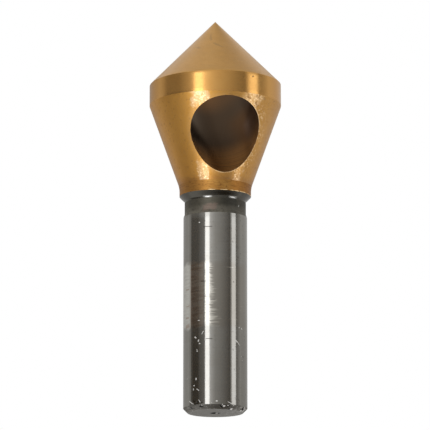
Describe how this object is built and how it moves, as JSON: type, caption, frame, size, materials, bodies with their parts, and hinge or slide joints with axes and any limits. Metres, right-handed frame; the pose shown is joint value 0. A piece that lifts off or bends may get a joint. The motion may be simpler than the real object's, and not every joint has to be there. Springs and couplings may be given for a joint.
{
  "type": "countersink bit",
  "caption": "Countersink and deburring bit: a coated cone and back taper with a slanting hole through the head, whose rim is the cutting lip, on a plain round shank.",
  "frame": {"origin": "centre of the shank's end face", "axes": "+Z along the tool axis towards the point; the slanting hole lies in the YZ plane, with its upper mouth at +Y on the cone and its lower mouth at -Y on the back taper"},
  "size_m": [0.0208, 0.0208, 0.0628],
  "materials": {
    "tool_steel": "ground high speed steel, grey shank, gold hard coating on the head"
  },
  "bodies": {
    "root": {"countersink_bit": "tool_steel"}
  },
  "joints": []
}
